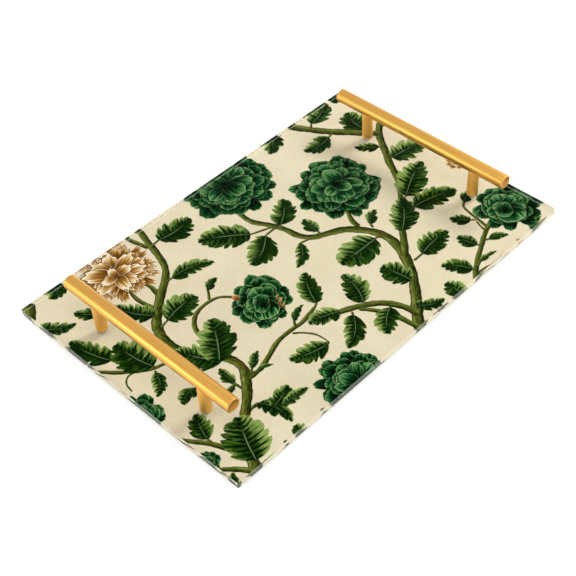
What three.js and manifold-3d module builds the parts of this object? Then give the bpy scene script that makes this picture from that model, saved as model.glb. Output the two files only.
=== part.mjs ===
// A flat serving tray: a clear acrylic sheet with a printed pattern on its back,
// two round bar handles on posts, and four clear bumper feet.
// Millimetres, +Z up. X runs along the tray's long side, Y along its short side.
// The origin is on the table, under the middle of the tray.
import * as THREE from 'three';
import { mergeVertices } from 'three/addons/utils/BufferGeometryUtils.js';
import Module from 'manifold-3d';

const wasm = await Module();
wasm.setup();

// ---- Driving dimensions -------------------------------------------------

const PANEL_LENGTH = 385;
const PANEL_WIDTH = 254;
const CORNER_RADIUS = 1;
const EDGE_CHAMFER = 0.4;

const FOOT_HEIGHT = 4;
const FILM_THICKNESS = 0.2;
const PRINT_THICKNESS = 0.5;
const SHEET_THICKNESS = 6;

const HANDLE_INSET = 31.5; // short edge of the panel to the bar's axis
const BAR_DIAMETER = 12.7;
const BAR_LENGTH = 188;
const BAR_CHAMFER = 0.6;
const BAR_RISE = 31.2; // top face of the panel to the bar's axis

const POST_DIAMETER = 10;
const POST_SPACING = 122;
const POST_CHAMFER = 0.3;
const SADDLE_GAP = 0.2; // between the post's hollowed top and the bar

// M4 screws from below, M4 studs between post and bar
const THREAD_DIAMETER = 4;
const TAPPED_HOLE = 4.2;
const CLEARANCE_HOLE = 4.6;
const HOLE_END_SPACE = 0.5; // beyond the tip of a screw or stud
const THREAD_CHAMFER = 0.4; // at the tips of screws and studs
const SCREW_LENGTH = 14;
const SCREW_HEAD_DIAMETER = 8;
const SCREW_HEAD_HEIGHT = 2.4;
const HEAD_DOME = 1; // height of the head's rounded shoulder
const HEAD_FLAT = 0.62; // share of the head's radius inside the shoulder
const SOCKET_WIDTH = 2.5; // hexagon, across its flats
const SOCKET_DEPTH = 1.4;
const WASHER_DIAMETER = 9;
const WASHER_THICKNESS = 0.8;
const STUD_LENGTH = 11;
const STUD_IN_BAR = 5;

const FOOT_DIAMETER = 12;
const FOOT_PAD_DIAMETER = 9; // the flat that touches the table
const FOOT_SHOULDER = 3.4; // height of the foot's rounded side
const FOOT_INSET = 16; // panel edges to the middle of a foot

const BAR_SEGMENTS = 48;
const POST_SEGMENTS = 32;
const THREAD_SEGMENTS = 16;
const FOOT_SEGMENTS = 28;
const CORNER_SEGMENTS = 4;
const SHOULDER_TURNS = [22.5, 45, 67.5, 90]; // degrees round a rounded shoulder
const OVERRUN = 1; // reach of a cutter outside the solid it cuts

// ---- Heights worked out from them, from the table up ----------------------

const FILM_BOTTOM = FOOT_HEIGHT;
const PRINT_BOTTOM = FILM_BOTTOM + FILM_THICKNESS;
const SHEET_BOTTOM = PRINT_BOTTOM + PRINT_THICKNESS;
const SHEET_TOP = SHEET_BOTTOM + SHEET_THICKNESS;
const BAR_AXIS = SHEET_TOP + BAR_RISE;
const BAR_UNDERSIDE = BAR_AXIS - BAR_DIAMETER / 2;
const HEAD_TOP = FILM_BOTTOM - WASHER_THICKNESS;
const SCREW_TIP = HEAD_TOP + SCREW_LENGTH;
const STUD_TOP = BAR_UNDERSIDE + STUD_IN_BAR;
const STUD_BOTTOM = STUD_TOP - STUD_LENGTH;

const SIDES = [
  { name: 'left', x: HANDLE_INSET - PANEL_LENGTH / 2 },
  { name: 'right', x: PANEL_LENGTH / 2 - HANDLE_INSET },
];
const ENDS = [
  { name: 'rear', y: POST_SPACING / 2 },
  { name: 'front', y: -POST_SPACING / 2 },
];
// Each post, and the screw, washer and stud on its axis
const POST_PLACES = SIDES.flatMap((side) =>
  ENDS.map((end) => ({ name: `${side.name}_${end.name}`, x: side.x, y: end.y })));

// ---- Materials --------------------------------------------------------------

const finish = (color, roughness, metalness, opacity = 1) =>
  new THREE.MeshStandardMaterial({
    color, roughness, metalness, opacity, transparent: opacity < 1,
  });
const clearAcrylic = () => finish(0xeef3ee, 0.05, 0, 0.3);
const printedInk = () => finish(0x6f8a55, 0.5, 0);
const whiteFilm = () => finish(0xf2f0e8, 0.6, 0);
const satinGold = () => finish(0xe6aa4b, 0.3, 1);
const zincSteel = () => finish(0xb9bcc0, 0.35, 1);
const clearRubber = () => finish(0xdfe6e6, 0.3, 0, 0.6);

// ---- Booleans ----------------------------------------------------------------

function toSolid(geometry) {
  const bare = geometry.clone();
  bare.deleteAttribute('normal');
  bare.deleteAttribute('uv');
  const merged = mergeVertices(bare, 1e-4);
  return new wasm.Manifold(new wasm.Mesh({
    numProp: 3,
    vertProperties: new Float32Array(merged.attributes.position.array),
    triVerts: new Uint32Array(merged.index.array),
  }));
}

function toGeometry(solid) {
  const mesh = solid.getMesh();
  const geometry = new THREE.BufferGeometry();
  geometry.setAttribute('position', new THREE.BufferAttribute(mesh.vertProperties, 3));
  geometry.setIndex(new THREE.BufferAttribute(mesh.triVerts, 1));
  geometry.computeVertexNormals();
  return geometry;
}

function cut(geometry, cutters) {
  return toGeometry(cutters.reduce((solid, cutter) => solid.subtract(toSolid(cutter)), toSolid(geometry)));
}

// ---- Shared shapes --------------------------------------------------------------

// A turned piece standing on Z. The profile is [radius, height] pairs, from axis to axis.
function turned(profile, segments) {
  const points = profile.map(([radius, height]) => new THREE.Vector2(radius, height));
  return new THREE.LatheGeometry(points, segments).rotateX(Math.PI / 2);
}

// A plain rod on Z, between two heights, with both ends chamfered
function rod(diameter, bottom, top, chamfer, segments) {
  const radius = diameter / 2;
  return turned([
    [0, bottom],
    [radius - chamfer, bottom],
    [radius, bottom + chamfer],
    [radius, top - chamfer],
    [radius - chamfer, top],
    [0, top],
  ], segments);
}

// Profile points of a rounded shoulder that rises from a flat end out to the side
function shoulder(flatRadius, outerRadius, bottom, height) {
  return SHOULDER_TURNS.map((degrees) => {
    const turn = THREE.MathUtils.degToRad(degrees);
    return [
      flatRadius + (outerRadius - flatRadius) * Math.sin(turn),
      bottom + height * (1 - Math.cos(turn)),
    ];
  });
}

// A straight cutter on Z, between two heights
function drill(diameter, bottom, top, x = 0, y = 0) {
  return new THREE.CylinderGeometry(diameter / 2, diameter / 2, top - bottom, THREAD_SEGMENTS)
    .rotateX(Math.PI / 2)
    .translate(x, y, (bottom + top) / 2);
}

// The tray's outline, made smaller all round by inset
function trayOutline(inset) {
  const halfX = PANEL_LENGTH / 2 - inset;
  const halfY = PANEL_WIDTH / 2 - inset;
  const radius = CORNER_RADIUS;
  const outline = new THREE.Shape();
  outline.moveTo(halfX, radius - halfY);
  outline.absarc(halfX - radius, halfY - radius, radius, 0, Math.PI / 2);
  outline.absarc(radius - halfX, halfY - radius, radius, Math.PI / 2, Math.PI);
  outline.absarc(radius - halfX, radius - halfY, radius, Math.PI, 1.5 * Math.PI);
  outline.absarc(halfX - radius, radius - halfY, radius, 1.5 * Math.PI, 2 * Math.PI);
  return outline;
}

// A sheet with that outline between two heights, with a clearance hole under each post
function drilledSheet(bottom, top, chamfer) {
  const sheet = new THREE.ExtrudeGeometry(trayOutline(EDGE_CHAMFER), {
    depth: top - bottom - 2 * chamfer,
    bevelEnabled: chamfer > 0,
    bevelThickness: chamfer,
    bevelSize: chamfer,
    bevelSegments: 1,
    curveSegments: CORNER_SEGMENTS,
  }).translate(0, 0, bottom + chamfer);
  return cut(sheet, POST_PLACES.map(({ x, y }) =>
    drill(CLEARANCE_HOLE, bottom - OVERRUN, top + OVERRUN, x, y)));
}

// ---- Sub-parts ---------------------------------------------------------------------

const tray = new THREE.Group();

function place(name, geometry, material, x = 0, y = 0) {
  const mesh = new THREE.Mesh(geometry, material);
  mesh.name = name;
  mesh.position.set(x, y, 0);
  tray.add(mesh);
}

function addPanel() {
  place('acrylic_panel', drilledSheet(SHEET_BOTTOM, SHEET_TOP, EDGE_CHAMFER), clearAcrylic());
  place('print_layer', drilledSheet(PRINT_BOTTOM, SHEET_BOTTOM, 0), printedInk());
  place('backing_film', drilledSheet(FILM_BOTTOM, PRINT_BOTTOM, 0), whiteFilm());
}

// The bar lies along Y, drilled blind from below for the two studs
function handleBar() {
  const bar = rod(BAR_DIAMETER, -BAR_LENGTH / 2, BAR_LENGTH / 2, BAR_CHAMFER, BAR_SEGMENTS)
    .rotateX(Math.PI / 2)
    .translate(0, 0, BAR_AXIS);
  const holeTop = STUD_TOP + HOLE_END_SPACE;
  return cut(bar, ENDS.map(({ y }) => drill(TAPPED_HOLE, BAR_UNDERSIDE - OVERRUN, holeTop, 0, y)));
}

// The post's top is hollowed to sit against the bar, and both its ends are drilled
function handlePost() {
  const blank = rod(POST_DIAMETER, SHEET_TOP, BAR_AXIS, POST_CHAMFER, POST_SEGMENTS);
  const saddle = new THREE.CylinderGeometry(
    BAR_DIAMETER / 2 + SADDLE_GAP, BAR_DIAMETER / 2 + SADDLE_GAP, 2 * POST_DIAMETER, BAR_SEGMENTS,
  ).translate(0, 0, BAR_AXIS);
  const screwHole = drill(TAPPED_HOLE, SHEET_TOP - OVERRUN, SCREW_TIP + HOLE_END_SPACE);
  const studHole = drill(TAPPED_HOLE, STUD_BOTTOM - HOLE_END_SPACE, BAR_AXIS);
  return cut(blank, [saddle, screwHole, studHole]);
}

function barStud() {
  return rod(THREAD_DIAMETER, STUD_BOTTOM, STUD_TOP, THREAD_CHAMFER, THREAD_SEGMENTS);
}

// A pan head under the washer with a hexagon socket, its shank up through the panel into the post
function panelScrew() {
  const headRadius = SCREW_HEAD_DIAMETER / 2;
  const flatRadius = headRadius * HEAD_FLAT;
  const shankRadius = THREAD_DIAMETER / 2;
  const headBottom = HEAD_TOP - SCREW_HEAD_HEIGHT;
  const screw = turned([
    [0, headBottom],
    [flatRadius, headBottom],
    ...shoulder(flatRadius, headRadius, headBottom, HEAD_DOME),
    [headRadius, HEAD_TOP],
    [shankRadius, HEAD_TOP],
    [shankRadius, SCREW_TIP - THREAD_CHAMFER],
    [shankRadius - THREAD_CHAMFER, SCREW_TIP],
    [0, SCREW_TIP],
  ], THREAD_SEGMENTS);
  const socketRadius = SOCKET_WIDTH / Math.sqrt(3);
  const socket = new THREE.CylinderGeometry(socketRadius, socketRadius, 2 * SOCKET_DEPTH, 6)
    .rotateX(Math.PI / 2)
    .translate(0, 0, headBottom);
  return cut(screw, [socket]);
}

function washer() {
  const inner = CLEARANCE_HOLE / 2;
  const outer = WASHER_DIAMETER / 2;
  return turned([
    [inner, HEAD_TOP],
    [outer, HEAD_TOP],
    [outer, FILM_BOTTOM],
    [inner, FILM_BOTTOM],
    [inner, HEAD_TOP],
  ], THREAD_SEGMENTS);
}

function bumperFoot() {
  const outer = FOOT_DIAMETER / 2;
  const pad = FOOT_PAD_DIAMETER / 2;
  return turned([
    [0, 0],
    [pad, 0],
    ...shoulder(pad, outer, 0, FOOT_SHOULDER),
    [outer, FOOT_HEIGHT],
    [0, FOOT_HEIGHT],
  ], FOOT_SEGMENTS);
}

function addHandles() {
  for (const side of SIDES) {
    place(`handle_bar_${side.name}`, handleBar(), satinGold(), side.x, 0);
  }
  for (const { name, x, y } of POST_PLACES) {
    place(`handle_post_${name}`, handlePost(), satinGold(), x, y);
    place(`bar_stud_${name}`, barStud(), zincSteel(), x, y);
    place(`panel_screw_${name}`, panelScrew(), zincSteel(), x, y);
    place(`screw_washer_${name}`, washer(), zincSteel(), x, y);
  }
}

function addFeet() {
  const footX = PANEL_LENGTH / 2 - FOOT_INSET;
  const footY = PANEL_WIDTH / 2 - FOOT_INSET;
  for (const [sideName, x] of [['left', -footX], ['right', footX]]) {
    for (const [endName, y] of [['rear', footY], ['front', -footY]]) {
      place(`foot_${sideName}_${endName}`, bumperFoot(), clearRubber(), x, y);
    }
  }
}

addPanel();
addHandles();
addFeet();

export default tray;
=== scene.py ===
# A clear acrylic serving tray, back-printed with green chintz, with satin gold bar handles.
# Metres, in the CAD frame: X along the long side, Y along the short side, Z up from the table.
import math
import random

import bmesh
import bpy
import numpy as np
from mathutils import Matrix, Vector


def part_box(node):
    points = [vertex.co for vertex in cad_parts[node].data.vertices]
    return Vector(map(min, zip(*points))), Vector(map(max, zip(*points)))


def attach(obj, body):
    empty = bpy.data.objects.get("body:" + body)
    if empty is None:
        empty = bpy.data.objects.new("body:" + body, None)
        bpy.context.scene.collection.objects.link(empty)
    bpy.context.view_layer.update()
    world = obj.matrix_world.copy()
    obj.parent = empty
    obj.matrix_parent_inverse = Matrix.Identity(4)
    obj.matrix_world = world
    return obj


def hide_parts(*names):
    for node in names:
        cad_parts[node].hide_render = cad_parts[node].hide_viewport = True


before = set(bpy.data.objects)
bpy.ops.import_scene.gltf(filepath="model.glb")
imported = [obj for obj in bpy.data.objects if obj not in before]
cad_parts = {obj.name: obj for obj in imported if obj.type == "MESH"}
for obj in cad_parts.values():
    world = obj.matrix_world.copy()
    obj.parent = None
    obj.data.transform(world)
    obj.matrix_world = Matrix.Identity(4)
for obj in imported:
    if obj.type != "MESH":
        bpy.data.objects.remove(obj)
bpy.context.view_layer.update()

MM = 0.001
ROOT = "root"

# ---- Places and sizes, read from the CAD frame ----

PANEL_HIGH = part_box("acrylic_panel")[1]
PRINT_LOW, PRINT_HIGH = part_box("print_layer")
PANEL_TOP = PANEL_HIGH.z

SIDES = ("left", "right")
ENDS = ("rear", "front")
POSTS = [f"{side}_{end}" for side in SIDES for end in ENDS]


def middle(node):
    low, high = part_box(node)
    return (low + high) / 2


def size(node):
    low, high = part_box(node)
    return high - low


def axis(node):
    """The point under a round upright node's middle, at table height."""
    return Vector((*middle(node).xy, 0))


def add_object(name, data):
    added = bpy.data.objects.new(name, data)
    bpy.context.scene.collection.objects.link(added)
    return added


# ---- Camera, at the photograph's viewing angle ----

VIEW_AZIMUTH = math.radians(-43.4)
VIEW_ELEVATION = math.radians(45.95)
VIEW_ROLL = math.radians(-3.68)
VIEW_DISTANCE = 968.8 * MM
AIM = Vector((-30 * MM, -20 * MM, PANEL_TOP))
LENS = 73.8
FILM_WIDTH = 36
NEAREST = 10 * MM


def add_camera():
    """Turned, tipped and rolled about the aim, then drawn back from it."""
    data = bpy.data.cameras.new("camera")
    data.lens = LENS
    data.sensor_width = FILM_WIDTH
    data.clip_start = NEAREST
    camera = add_object("camera", data)
    camera.matrix_world = (
        Matrix.Translation(AIM)
        @ Matrix.Rotation(VIEW_AZIMUTH, 4, "Z")
        @ Matrix.Rotation(math.pi / 2 - VIEW_ELEVATION, 4, "X")
        @ Matrix.Rotation(VIEW_ROLL, 4, "Z")
        @ Matrix.Translation((0, 0, VIEW_DISTANCE)))
    bpy.context.scene.camera = camera


# ---- Node trees ----


def srgb(red, green, blue, alpha=1.0):
    """A colour given as 0 to 255 screen values, as the linear numbers that shaders take."""
    def linear(value):
        share = value / 255
        return share / 12.92 if share <= 0.04045 else ((share + 0.055) / 1.055) ** 2.4
    return (linear(red), linear(green), linear(blue), alpha)


class Tree:
    """A material's node tree, with one short call for each kind of node used here."""

    def __init__(self, name):
        self.material = bpy.data.materials.new(name)
        self.material.use_nodes = True
        self.nodes = self.material.node_tree.nodes
        self.links = self.material.node_tree.links
        self.shader = self.nodes["Principled BSDF"]
        self.output = self.nodes["Material Output"]

    def feed(self, socket, value):
        if isinstance(value, bpy.types.NodeSocket):
            self.links.new(value, socket)
        else:
            socket.default_value = value

    def math(self, operation, a, b=0.0):
        node = self.nodes.new("ShaderNodeMath")
        node.operation = operation
        self.feed(node.inputs[0], a)
        self.feed(node.inputs[1], b)
        return node.outputs[0]

    def plus(self, first, *others):
        total = first
        for other in others:
            total = self.math("ADD", total, other)
        return total

    def times(self, a, b):
        return self.math("MULTIPLY", a, b)

    def swing(self, value, reach):
        """Turns 0 to 1 into half of reach below nothing to half of it above."""
        return self.times(self.math("SUBTRACT", value, 0.5), reach)

    def step(self, value, low, high):
        """0 up to low, 1 from high on, and smooth in between. high may be the lower of the two."""
        node = self.nodes.new("ShaderNodeMapRange")
        node.interpolation_type = "SMOOTHSTEP"
        self.feed(node.inputs["Value"], value)
        node.inputs["From Min"].default_value = low
        node.inputs["From Max"].default_value = high
        return node.outputs["Result"]

    def between(self, value, low, high):
        """Turns 0 to 1 into low to high."""
        node = self.nodes.new("ShaderNodeMapRange")
        self.feed(node.inputs["Value"], value)
        node.inputs["To Min"].default_value = low
        node.inputs["To Max"].default_value = high
        return node.outputs["Result"]

    def mix(self, share, a, b):
        """The colour a, giving way to b as share goes from 0 to 1."""
        node = self.nodes.new("ShaderNodeMix")
        node.data_type = "RGBA"
        self.feed(node.inputs["Factor"], share)
        self.feed(node.inputs[6], a)
        self.feed(node.inputs[7], b)
        return node.outputs[2]

    def ramp(self, value, stops):
        node = self.nodes.new("ShaderNodeValToRGB")
        elements = node.color_ramp.elements
        while len(elements) < len(stops):
            elements.new(0.5)
        for element, (place, colour) in zip(elements, stops):
            element.position = place
            element.color = colour
        self.feed(node.inputs["Fac"], value)
        return node.outputs["Color"]

    def attribute(self, name):
        """The three numbers of a mesh attribute."""
        node = self.nodes.new("ShaderNodeAttribute")
        node.attribute_name = name
        split = self.nodes.new("ShaderNodeSeparateXYZ")
        self.links.new(node.outputs["Vector"], split.inputs[0])
        return split.outputs[:]

    def vector(self, x, y, z):
        node = self.nodes.new("ShaderNodeCombineXYZ")
        for socket, value in zip(node.inputs, (x, y, z)):
            self.feed(socket, value)
        return node.outputs[0]

    def noise(self, vector, scale=1.0, detail=2.0, roughness=0.5):
        node = self.nodes.new("ShaderNodeTexNoise")
        self.links.new(vector, node.inputs["Vector"])
        node.inputs["Scale"].default_value = scale
        node.inputs["Detail"].default_value = detail
        node.inputs["Roughness"].default_value = roughness
        return node.outputs["Fac"]

    def grain(self, scale, detail, stretch=(1, 1, 1), roughness=0.5):
        """A noise over the object's own metres, times stretch."""
        coordinates = self.nodes.new("ShaderNodeTexCoord")
        mapping = self.nodes.new("ShaderNodeMapping")
        mapping.inputs["Scale"].default_value = stretch
        self.links.new(coordinates.outputs["Object"], mapping.inputs["Vector"])
        return self.noise(mapping.outputs[0], scale, detail, roughness)

    def bump(self, height, strength, distance):
        node = self.nodes.new("ShaderNodeBump")
        node.inputs["Strength"].default_value = strength
        node.inputs["Distance"].default_value = distance
        self.links.new(height, node.inputs["Height"])
        self.links.new(node.outputs[0], self.shader.inputs["Normal"])

    def set(self, **values):
        """Sets the shader's sockets, such as base_color or specular_tint, to numbers or to links."""
        for name, value in values.items():
            self.feed(self.shader.inputs[name.replace("_", " ").title().replace("Ior", "IOR")], value)


# ---- Materials ----


def lets_lamps_through(tree):
    """Glass that casts no shadow, so that the print behind it is lit."""
    path = tree.nodes.new("ShaderNodeLightPath")
    clear = tree.nodes.new("ShaderNodeBsdfTransparent")
    choice = tree.nodes.new("ShaderNodeMixShader")
    tree.links.new(path.outputs["Is Shadow Ray"], choice.inputs[0])
    tree.links.new(tree.shader.outputs[0], choice.inputs[1])
    tree.links.new(clear.outputs[0], choice.inputs[2])
    tree.links.new(choice.outputs[0], tree.output.inputs["Surface"])


WHITE = (1, 1, 1, 1)
ACRYLIC_INDEX = 1.49
# The large face is drawn with less refraction and reflection than acrylic has, for it shows
# nothing of the room in the dark inks
QUIET_INDEX = 1.2
QUIET_TINT = (0.1, 0.1, 0.1, 1)


def satin_edge():
    """The sawn and sanded edge of the acrylic."""
    tree = Tree("satin_edge")
    sanding = tree.grain(700, 3, (1, 1, 8))
    tree.set(base_color=WHITE, ior=ACRYLIC_INDEX, transmission_weight=1.0)
    tree.set(roughness=tree.between(sanding, 0.08, 0.25))
    lets_lamps_through(tree)
    return tree.material


def clear_acrylic():
    """The large faces of the acrylic, with a trace of haze."""
    tree = Tree("clear_acrylic")
    haze = tree.grain(90, 3)
    tree.set(base_color=WHITE, ior=QUIET_INDEX, specular_tint=QUIET_TINT, transmission_weight=1.0)
    tree.set(roughness=tree.between(haze, 0.0, 0.03))
    lets_lamps_through(tree)
    return tree.material


def printed(tree, colour, grain):
    """Ink or its ground. It has no gloss of its own, because it is bonded to the acrylic."""
    tree.set(base_color=colour, specular_ior_level=0.0, roughness=tree.between(grain, 0.5, 0.65))
    return tree.material


def cream_ground():
    """The printed ground: cream, a little mottled, with a faint canvas tooth."""
    tree = Tree("cream_ground")
    patches = tree.grain(28, 3)
    tooth = tree.grain(420, 3, (1, 1.6, 1), roughness=0.6)
    ground = tree.mix(tree.step(patches, 0.3, 0.7), srgb(221, 210, 180), srgb(216, 204, 173))
    speckled = tree.mix(tree.step(tooth, 0.5, 0.75), ground, srgb(225, 216, 188))
    shaded = tree.mix(tree.step(tooth, 0.46, 0.28), speckled, srgb(212, 199, 168))
    return printed(tree, shaded, tooth)


def leaf_ink():
    """stroke holds (side vein count along the leaf, -1 to 1 across it, 0 to 1 along it);
    tone holds (overall lightness, a number of the leaf's own, which half is lit: -1 or 1)."""
    tree = Tree("leaf_ink")
    vein, across, along = tree.attribute("stroke")
    light, seed, lit = tree.attribute("tone")
    edge = tree.math("ABSOLUTE", across)
    strokes = tree.noise(
        tree.vector(tree.times(vein, 7.0), tree.times(across, 1.6), seed),
        scale=1.0, detail=2, roughness=0.7)
    blotches = tree.noise(
        tree.vector(tree.times(vein, 0.7), across, tree.plus(seed, 7.3)), scale=1.5)

    # Green grows lighter and yellower to the edges, the tip and the lit half
    rise = tree.plus(
        tree.times(edge, 0.46),
        tree.times(tree.times(across, lit), 0.26),
        tree.times(tree.plus(along, 1.0), 0.10),
        tree.swing(blotches, 0.8),
        tree.swing(strokes, 1.5),
        tree.times(light, 0.5))
    green = tree.ramp(rise, [
        (0.14, srgb(6, 32, 0)),
        (0.38, srgb(28, 60, 8)),
        (0.60, srgb(74, 104, 38)),
        (0.80, srgb(136, 158, 84)),
    ])

    # Dark tapering strokes run outwards from the midrib, two to each side vein
    comb = tree.plus(tree.times(vein, 2.0), tree.times(strokes, 0.35))
    length = tree.noise(
        tree.vector(tree.math("FLOOR", comb), tree.math("SIGN", across), seed), scale=3.7, detail=0)
    fade = tree.math("DIVIDE", edge, tree.between(tree.step(length, 0.3, 0.7), 0.45, 1.1))
    thickness = tree.math("SUBTRACT", 0.32, tree.times(tree.math("POWER", fade, 2.0), 0.30))
    offset = tree.math("ABSOLUTE", tree.math("SUBTRACT", tree.math("FRACT", comb), 0.5))
    hatch = tree.step(tree.math("SUBTRACT", thickness, offset), -0.05, 0.07)
    beside_rib = tree.step(tree.plus(edge, tree.times(strokes, 0.2)), 0.21, 0.11)
    shaded = tree.mix(tree.math("MAXIMUM", hatch, beside_rib), green, srgb(2, 22, 0))

    # A thin light midrib
    rib = tree.times(tree.step(edge, 0.045, 0.015), tree.step(along, 0.85, 0.5))
    return printed(tree, tree.mix(tree.times(rib, 0.6), shaded, srgb(120, 150, 100)), strokes)


def stem_ink():
    """stroke holds (-1 to 1 across the stem, millimetres along it, its width in millimetres)."""
    tree = Tree("stem_ink")
    across, along, _ = tree.attribute("stroke")
    _, seed, _ = tree.attribute("tone")
    wander = tree.noise(tree.vector(along, 0.0, seed), scale=0.06)
    twist = tree.plus(across, tree.swing(wander, 1.6))
    grain = tree.noise(
        tree.vector(tree.times(twist, 4.0), tree.times(along, 0.14), seed),
        scale=1.0, detail=4, roughness=0.75)
    lit = tree.plus(tree.times(across, 0.20), grain)
    colour = tree.ramp(lit, [
        (0.32, srgb(16, 24, 0)),
        (0.45, srgb(52, 64, 12)),
        (0.60, srgb(92, 104, 34)),
        (0.78, srgb(150, 156, 78)),
    ])
    edge = tree.math("ABSOLUTE", across)
    shade = tree.step(tree.plus(edge, tree.times(grain, 0.3)), 0.78, 1.08)
    rust = tree.noise(tree.vector(tree.times(along, 0.05), twist, seed), scale=1.3)
    warm = tree.mix(tree.times(tree.step(rust, 0.58, 0.75), 0.45), colour, srgb(120, 84, 40))
    return printed(tree, tree.mix(tree.times(shade, 0.85), warm, srgb(30, 36, 12)), grain)


def petal_ink(name, stops, rim_colour, rim_share, streak_depth):
    """stroke holds (-1 to 1 across the petal, 0 to 1 over the part that shows, 0 to 1 along it);
    tone holds (lightness, a number of the petal's own, how strongly its rim is drawn)."""
    tree = Tree(name)
    across, shown, along = tree.attribute("stroke")
    light, seed, rim = tree.attribute("tone")
    flutes = tree.noise(
        tree.vector(tree.times(across, 10.0), tree.times(along, 1.2), seed),
        scale=1.0, detail=3, roughness=0.65)
    colour = tree.ramp(tree.plus(shown, tree.swing(flutes, streak_depth), light), stops)
    darkest = stops[0][1]
    edge = tree.math("ABSOLUTE", across)
    side_shade = tree.times(tree.step(edge, 0.72, 1.0), tree.step(shown, 0.95, 0.5))
    colour = tree.mix(tree.times(side_shade, 0.55), colour, darkest)
    rim_line = tree.step(tree.math("MAXIMUM", shown, tree.times(edge, 0.97)), 0.91, 0.97)
    rim_line = tree.times(rim_line, tree.times(rim, rim_share))
    return printed(tree, tree.mix(rim_line, colour, rim_colour), flutes)


def emerald_ink():
    return petal_ink("emerald_ink", [
        (0.28, srgb(0, 8, 0)),
        (0.53, srgb(0, 30, 2)),
        (0.77, srgb(4, 64, 26)),
        (0.93, srgb(32, 98, 48)),
        (1.0, srgb(104, 146, 88)),
    ], srgb(140, 182, 118), 0.65, 2.6)


def tawny_ink():
    return petal_ink("tawny_ink", [
        (0.18, srgb(84, 50, 2)),
        (0.44, srgb(128, 84, 24)),
        (0.66, srgb(166, 120, 54)),
        (0.84, srgb(214, 184, 130)),
        (0.98, srgb(240, 224, 190)),
    ], srgb(252, 240, 214), 1.0, 1.5)


def amber_ink():
    return petal_ink("amber_ink", [
        (0.1, srgb(84, 44, 8)),
        (0.5, srgb(146, 86, 34)),
        (0.9, srgb(198, 148, 88)),
    ], srgb(226, 204, 156), 0.8, 1.6)


def satin_gold(name, dark, light, smoothest, roughest):
    """Gold brushed along Y, with a fine grain, between two colours and two roughnesses."""
    tree = Tree(name)
    brushed = tree.grain(1, 2, (900, 14, 900))
    grain = tree.grain(1500, 2)
    wear = tree.grain(24, 2)
    gold = tree.mix(tree.step(brushed, 0.3, 0.7), dark, light)
    tree.set(base_color=tree.mix(tree.step(wear, 0.4, 0.8), gold, light), metallic=1.0)
    scuffs = tree.plus(tree.times(brushed, 0.6), tree.times(grain, 0.4))
    tree.set(roughness=tree.between(scuffs, smoothest, roughest))
    tree.bump(tree.plus(brushed, grain), 0.05, 0.04 * MM)
    return tree.material


def turned_gold():
    """The faced ends of the bars: duller and darker, with a fine speckle."""
    tree = Tree("turned_gold")
    speckle = tree.grain(2200, 2)
    tree.set(base_color=tree.mix(speckle, srgb(180, 128, 54), srgb(198, 146, 72)), metallic=1.0)
    tree.set(roughness=tree.between(speckle, 0.42, 0.58))
    return tree.material


def zinc_steel():
    """Bright zinc plating, a little cloudy."""
    tree = Tree("zinc_steel")
    bloom = tree.grain(300, 3)
    tree.set(base_color=tree.mix(bloom, srgb(178, 182, 188), srgb(206, 208, 212)), metallic=1.0)
    tree.set(roughness=tree.between(bloom, 0.22, 0.42))
    return tree.material


def backing_white():
    """Matt white film with a faint rough tooth."""
    tree = Tree("backing_white")
    weave = tree.grain(260, 4, roughness=0.6)
    tree.set(base_color=tree.mix(weave, srgb(236, 233, 224), srgb(246, 244, 238)))
    tree.set(roughness=tree.between(weave, 0.5, 0.7))
    tree.bump(weave, 0.15, 0.05 * MM)
    return tree.material


def clear_rubber():
    """Clear, faintly clouded rubber."""
    tree = Tree("clear_rubber")
    clouds = tree.grain(180, 3)
    tree.set(base_color=srgb(238, 243, 243), ior=1.5, transmission_weight=0.8)
    tree.set(roughness=tree.between(clouds, 0.12, 0.3))
    lets_lamps_through(tree)
    return tree.material


def studio_floor():
    """White paper that is lit so well that it has no tone of its own."""
    tree = Tree("studio_floor")
    tone = tree.grain(2, 2)
    tree.set(base_color=tree.mix(tone, srgb(250, 250, 250), srgb(252, 252, 252)), roughness=0.9)
    tree.set(specular_ior_level=0.0, emission_color=WHITE, emission_strength=0.2)
    return tree.material


# ---- Making objects ----


def to_object(name, bm, materials, smooth=True):
    mesh = bpy.data.meshes.new(name)
    bm.to_mesh(mesh)
    bm.free()
    for material in materials:
        mesh.materials.append(material)
    for polygon in mesh.polygons:
        polygon.use_smooth = smooth
    return add_object(name, mesh)


def stand_in_for(piece, node):
    """The piece rides on the tray in place of a CAD node."""
    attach(piece, ROOT)
    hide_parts(node)


def wear(node, material):
    """Gives a CAD node that stays a better material."""
    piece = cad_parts[node]
    piece.data.materials.clear()
    piece.data.materials.append(material)


def lathe(bm, profile, segments, centre, material_of=lambda row: 0):
    """Turns a profile of (radius, height) round the Z axis through centre. A radius may also be a
    function of the turn, for a shape that is not round."""
    rings = []
    for radius, height in profile:
        if radius == 0:
            rings.append([bm.verts.new(centre + Vector((0, 0, height)))])
            continue
        ring = []
        for step in range(segments):
            turn = math.tau * step / segments
            reach = radius(turn) if callable(radius) else radius
            ring.append(bm.verts.new(centre + Vector(
                (reach * math.cos(turn), reach * math.sin(turn), height))))
        rings.append(ring)
    for row, (lower, upper) in enumerate(zip(rings, rings[1:])):
        for step in range(segments):
            after = (step + 1) % segments
            corners = [lower[step % len(lower)], lower[after % len(lower)],
                       upper[after % len(upper)], upper[step % len(upper)]]
            unique = [v for i, v in enumerate(corners) if v not in corners[:i]]
            if len(unique) > 2:
                bm.faces.new(unique).material_index = material_of(row)


def rounded_edge(flat, wall, steps):
    """A profile's quarter of an ellipse, from where its flat ends to where its wall starts."""
    points = []
    for step in range(steps + 1):
        turn = math.pi / 2 * step / steps
        points.append((
            flat[0] + (wall[0] - flat[0]) * math.sin(turn),
            flat[1] + (wall[1] - flat[1]) * (1 - math.cos(turn))))
    return points


# ---- The sheets of the panel ----

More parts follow.
